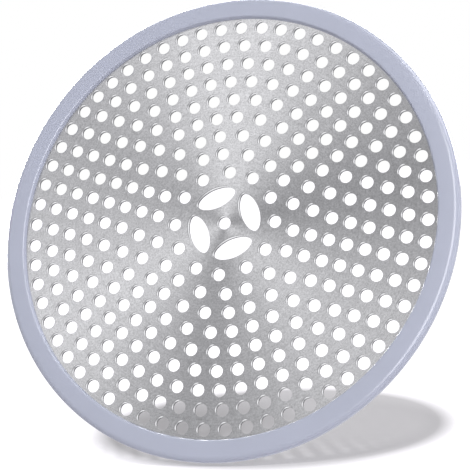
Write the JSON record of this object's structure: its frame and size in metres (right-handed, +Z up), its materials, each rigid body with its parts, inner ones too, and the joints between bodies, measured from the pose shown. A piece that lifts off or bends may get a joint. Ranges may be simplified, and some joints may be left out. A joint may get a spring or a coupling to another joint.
{
  "type": "drain hair catcher",
  "caption": "Flat round shower drain cover that catches hair: a perforated steel disc, dished a little, held by its edge in a soft moulded rim.",
  "frame": {"origin": "centre of the foot of the rim, on the surface that the disc rests on", "axes": "+Z up, square to the disc, out of the face that the water meets; the long slots round the middle lie on +X, +Y, -X and -Y"},
  "size_m": [0.1244, 0.1244, 0.0032],
  "materials": {
    "perforated_plate": "round-brushed stainless steel",
    "silicone_rim": "satin blue-grey silicone"
  },
  "bodies": {
    "root": {"perforated_plate": "perforated_plate", "silicone_rim": "silicone_rim"}
  },
  "joints": []
}
